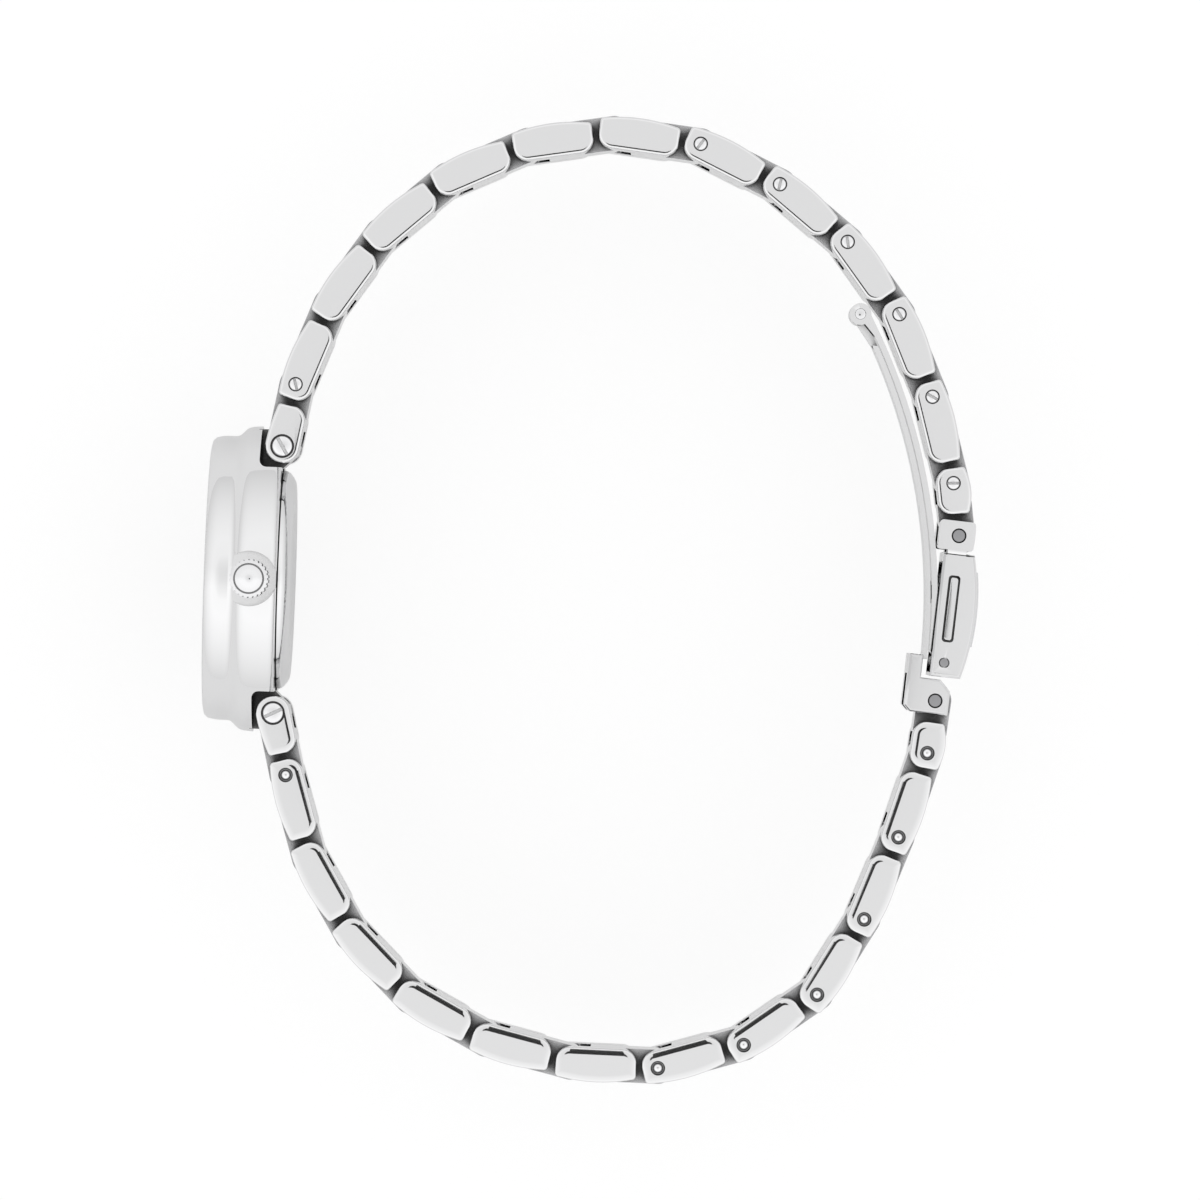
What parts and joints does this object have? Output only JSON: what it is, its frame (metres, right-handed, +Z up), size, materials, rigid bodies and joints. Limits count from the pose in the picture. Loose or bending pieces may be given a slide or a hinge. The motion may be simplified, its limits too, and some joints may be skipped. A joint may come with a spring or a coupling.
{
  "type": "bracelet watch",
  "caption": "Small round steel watch lying on its side, with a three-row link bracelet closed into an oval by a push-button folding clasp.",
  "frame": {"origin": "middle of the case back's outer face, in the bracelet's middle plane", "axes": "-X is the way the dial faces and +X points into the wrist opening, +Y is twelve o'clock, +Z is up and the way the crown points, as the watch lies on its side"},
  "size_m": [0.0661, 0.0825, 0.0279],
  "materials": {
    "polished_steel": "mirror polished stainless steel",
    "spring_steel": "satin",
    "crystal_glass": "clear, polished",
    "white_dial": "fine satin lacquer",
    "brass_works": "machined",
    "black_gasket": "matte",
    "white_holder": "moulded",
    "coil_copper": "enamelled winding"
  },
  "bodies": {
    "case": {"mid_case": "polished_steel", "bezel": "polished_steel", "crystal": "crystal_glass", "crystal_gasket": "white_holder", "flange_ring": "polished_steel", "dial": "white_dial", "hour_markers": "polished_steel", "main_plate": "brass_works", "train_bridge": "brass_works", "button_cell": "spring_steel", "motor_coil": "coil_copper", "movement_holder": "white_holder", "case_back": "polished_steel", "case_back_gasket": "black_gasket", "crown_tube": "polished_steel"},
    "upper_end_link": {"upper_end_link": "polished_steel"},
    "upper_link_01": {"upper_link_01": "polished_steel"},
    "upper_link_02": {"upper_link_02": "polished_steel"},
    "upper_link_03": {"upper_link_03": "polished_steel"},
    "upper_link_04": {"upper_link_04": "polished_steel"},
    "upper_link_05": {"upper_link_05": "polished_steel"},
    "upper_link_06": {"upper_link_06": "polished_steel"},
    "upper_link_07": {"upper_link_07": "polished_steel"},
    "upper_link_08": {"upper_link_08": "polished_steel"},
    "upper_link_09": {"upper_link_09": "polished_steel"},
    "upper_link_10": {"upper_link_10": "polished_steel"},
    "upper_link_11": {"upper_link_11": "polished_steel"},
    "upper_half_link": {"upper_half_link": "polished_steel"},
    "lower_end_link": {"lower_end_link": "polished_steel"},
    "lower_link_01": {"lower_link_01": "polished_steel"},
    "lower_link_02": {"lower_link_02": "polished_steel"},
    "lower_link_03": {"lower_link_03": "polished_steel"},
    "lower_link_04": {"lower_link_04": "polished_steel"},
    "lower_link_05": {"lower_link_05": "polished_steel"},
    "lower_link_06": {"lower_link_06": "polished_steel"},
    "lower_link_07": {"lower_link_07": "polished_steel"},
    "lower_link_08": {"lower_link_08": "polished_steel"},
    "lower_link_09": {"lower_link_09": "polished_steel"},
    "lower_link_10": {"lower_link_10": "polished_steel"},
    "lower_link_11": {"lower_link_11": "polished_steel"},
    "lower_half_link": {"lower_half_link": "polished_steel"},
    "cover": {"clasp_cover": "polished_steel", "cover_screw": "polished_steel", "blade_pin": "spring_steel", "button_spring_near": "spring_steel", "button_spring_far": "spring_steel"},
    "middle_blade": {"middle_blade": "polished_steel", "barrel_pin": "spring_steel"},
    "inner_blade": {"inner_blade": "polished_steel", "block_screws": "polished_steel"},
    "push_button_near": {"push_button_near": "polished_steel"},
    "push_button_far": {"push_button_far": "polished_steel"},
    "crown_slide": {"setting_lever": "spring_steel"},
    "crown": {"crown": "polished_steel", "winding_stem": "spring_steel"},
    "hour_hand": {"hour_hand": "polished_steel"},
    "minute_hand": {"minute_hand": "polished_steel"}
  },
  "joints": [
    {"name": "upper_end_link_hinge", "type": "hinge", "parent": "case", "child": "upper_end_link", "pos_m": [-0.00118, 0.01135, 0], "axis": [0, 0, 1], "range_deg": [0, 6]},
    {"name": "upper_link_01_hinge", "type": "hinge", "parent": "upper_end_link", "child": "upper_link_01", "pos_m": [-0.00022, 0.01665, 0], "axis": [0, 0, 1], "range_deg": [0, 10.7]},
    {"name": "upper_link_02_hinge", "type": "hinge", "parent": "upper_link_01", "child": "upper_link_02", "pos_m": [0.00242, 0.02357, 0], "axis": [0, 0, 1], "range_deg": [0, 13.3]},
    {"name": "upper_link_03_hinge", "type": "hinge", "parent": "upper_link_02", "child": "upper_link_03", "pos_m": [0.00659, 0.0297, 0], "axis": [0, 0, 1], "range_deg": [0, 14]},
    {"name": "upper_link_04_hinge", "type": "hinge", "parent": "upper_link_03", "child": "upper_link_04", "pos_m": [0.01211, 0.03464, 0], "axis": [0, 0, 1], "range_deg": [0, 16.6]},
    {"name": "upper_link_05_hinge", "type": "hinge", "parent": "upper_link_04", "child": "upper_link_05", "pos_m": [0.01881, 0.03779, 0], "axis": [0, 0, 1], "range_deg": [0, 15.4]},
    {"name": "upper_link_06_hinge", "type": "hinge", "parent": "upper_link_05", "child": "upper_link_06", "pos_m": [0.02612, 0.03905, 0], "axis": [0, 0, 1], "range_deg": [0, 15.9]},
    {"name": "upper_link_07_hinge", "type": "hinge", "parent": "upper_link_06", "child": "upper_link_07", "pos_m": [0.03349, 0.03827, 0], "axis": [0, 0, 1], "range_deg": [0, 18.9]},
    {"name": "upper_link_08_hinge", "type": "hinge", "parent": "upper_link_07", "child": "upper_link_08", "pos_m": [0.04034, 0.03507, 0], "axis": [0, 0, 1], "range_deg": [0, 13.4]},
    {"name": "upper_link_09_hinge", "type": "hinge", "parent": "upper_link_08", "child": "upper_link_09", "pos_m": [0.04626, 0.03038, 0], "axis": [0, 0, 1], "range_deg": [0, 14]},
    {"name": "upper_link_10_hinge", "type": "hinge", "parent": "upper_link_09", "child": "upper_link_10", "pos_m": [0.05087, 0.02439, 0], "axis": [0, 0, 1], "range_deg": [0, 13.8]},
    {"name": "upper_link_11_hinge", "type": "hinge", "parent": "upper_link_10", "child": "upper_link_11", "pos_m": [0.05393, 0.01747, 0], "axis": [0, 0, 1], "range_deg": [0, 8.1]},
    {"name": "upper_half_link_hinge", "type": "hinge", "parent": "upper_link_11", "child": "upper_half_link", "pos_m": [0.05597, 0.01019, 0], "axis": [0, 0, 1], "range_deg": [0, 7.7]},
    {"name": "lower_end_link_hinge", "type": "hinge", "parent": "case", "child": "lower_end_link", "pos_m": [-0.00118, -0.01135, 0], "axis": [0, 0, -1], "range_deg": [0, 6]},
    {"name": "lower_link_01_hinge", "type": "hinge", "parent": "lower_end_link", "child": "lower_link_01", "pos_m": [0.00008, -0.01658, 0], "axis": [0, 0, -1], "range_deg": [0, 3.59]},
    {"name": "lower_link_02_hinge", "type": "hinge", "parent": "lower_link_01", "child": "lower_link_02", "pos_m": [0.00226, -0.02367, 0], "axis": [0, 0, -1], "range_deg": [0, 13.99]},
    {"name": "lower_link_03_hinge", "type": "hinge", "parent": "lower_link_02", "child": "lower_link_03", "pos_m": [0.00609, -0.03001, 0], "axis": [0, 0, -1], "range_deg": [0, 14.49]},
    {"name": "lower_link_04_hinge", "type": "hinge", "parent": "lower_link_03", "child": "lower_link_04", "pos_m": [0.01138, -0.03519, 0], "axis": [0, 0, -1], "range_deg": [0, 16.89]},
    {"name": "lower_link_05_hinge", "type": "hinge", "parent": "lower_link_04", "child": "lower_link_05", "pos_m": [0.01796, -0.03862, 0], "axis": [0, 0, -1], "range_deg": [0, 14.39]},
    {"name": "lower_link_06_hinge", "type": "hinge", "parent": "lower_link_05", "child": "lower_link_06", "pos_m": [0.02517, -0.0403, 0], "axis": [0, 0, -1], "range_deg": [0, 12.39]},
    {"name": "lower_link_07_hinge", "type": "hinge", "parent": "lower_link_06", "child": "lower_link_07", "pos_m": [0.03258, -0.04039, 0], "axis": [0, 0, -1], "range_deg": [0, 17.79]},
    {"name": "lower_link_08_hinge", "type": "hinge", "parent": "lower_link_07", "child": "lower_link_08", "pos_m": [0.03981, -0.03817, 0], "axis": [0, 0, -1], "range_deg": [0, 19.39]},
    {"name": "lower_link_09_hinge", "type": "hinge", "parent": "lower_link_08", "child": "lower_link_09", "pos_m": [0.04589, -0.03368, 0], "axis": [0, 0, -1], "range_deg": [0, 23.49]},
    {"name": "lower_link_10_hinge", "type": "hinge", "parent": "lower_link_09", "child": "lower_link_10", "pos_m": [0.04967, -0.02713, 0], "axis": [0, 0, -1], "range_deg": [0, 9.39]},
    {"name": "lower_link_11_hinge", "type": "hinge", "parent": "lower_link_10", "child": "lower_link_11", "pos_m": [0.05234, -0.02006, 0], "axis": [0, 0, -1], "range_deg": [0, 3.69]},
    {"name": "lower_half_link_hinge", "type": "hinge", "parent": "lower_link_11", "child": "lower_half_link", "pos_m": [0.05454, -0.01283, 0], "axis": [0, 0, -1], "range_deg": [0, 10.39]},
    {"name": "cover_swing", "type": "hinge", "parent": "upper_half_link", "child": "cover", "pos_m": [0.0566, 0.00573, 0], "axis": [0, 0, 1], "range_deg": [0, 25]},
    {"name": "middle_blade_hinge", "type": "hinge", "parent": "cover", "child": "middle_blade", "pos_m": [0.05571, -0.0051, 0], "axis": [0, 0, 1], "range_deg": [0, 30.01]},
    {"name": "clasp_unfold", "type": "hinge", "parent": "middle_blade", "child": "inner_blade", "pos_m": [0.04764, 0.02438, 0], "axis": [0, 0, -1], "range_deg": [0, 100]},
    {"name": "push_button_near_press", "type": "slide", "parent": "cover", "child": "push_button_near", "axis": [0, 0, -1], "range_m": [0, 0.00045], "stiffness_N_per_m": 600, "deforming": ["button_spring_near"]},
    {"name": "push_button_far_press", "type": "slide", "parent": "cover", "child": "push_button_far", "axis": [0, 0, 1], "range_m": [0, 0.00045], "stiffness_N_per_m": 600, "deforming": ["button_spring_far"]},
    {"name": "crown_pull", "type": "slide", "parent": "case", "child": "crown_slide", "axis": [0, 0, 1], "range_m": [0, 0.0008]},
    {"name": "crown_turn", "type": "hinge", "parent": "crown_slide", "child": "crown", "pos_m": [-0.0034, 0, 0], "axis": [0, 0, 1], "continuous": true},
    {"name": "minute_hand_turn", "type": "hinge", "parent": "case", "child": "minute_hand", "pos_m": [0, 0, 0], "axis": [1, 0, 0], "continuous": true},
    {"name": "hour_hand_turn", "type": "hinge", "parent": "case", "child": "hour_hand", "pos_m": [0, 0, 0], "axis": [1, 0, 0], "continuous": true}
  ],
  "couplings": [
    {"joint": "middle_blade_hinge", "follows": "clasp_unfold", "ratio": 0.3},
    {"joint": "minute_hand_turn", "follows": "crown_turn", "ratio": -0.25},
    {"joint": "hour_hand_turn", "follows": "crown_turn", "ratio": -0.020833}
  ]
}
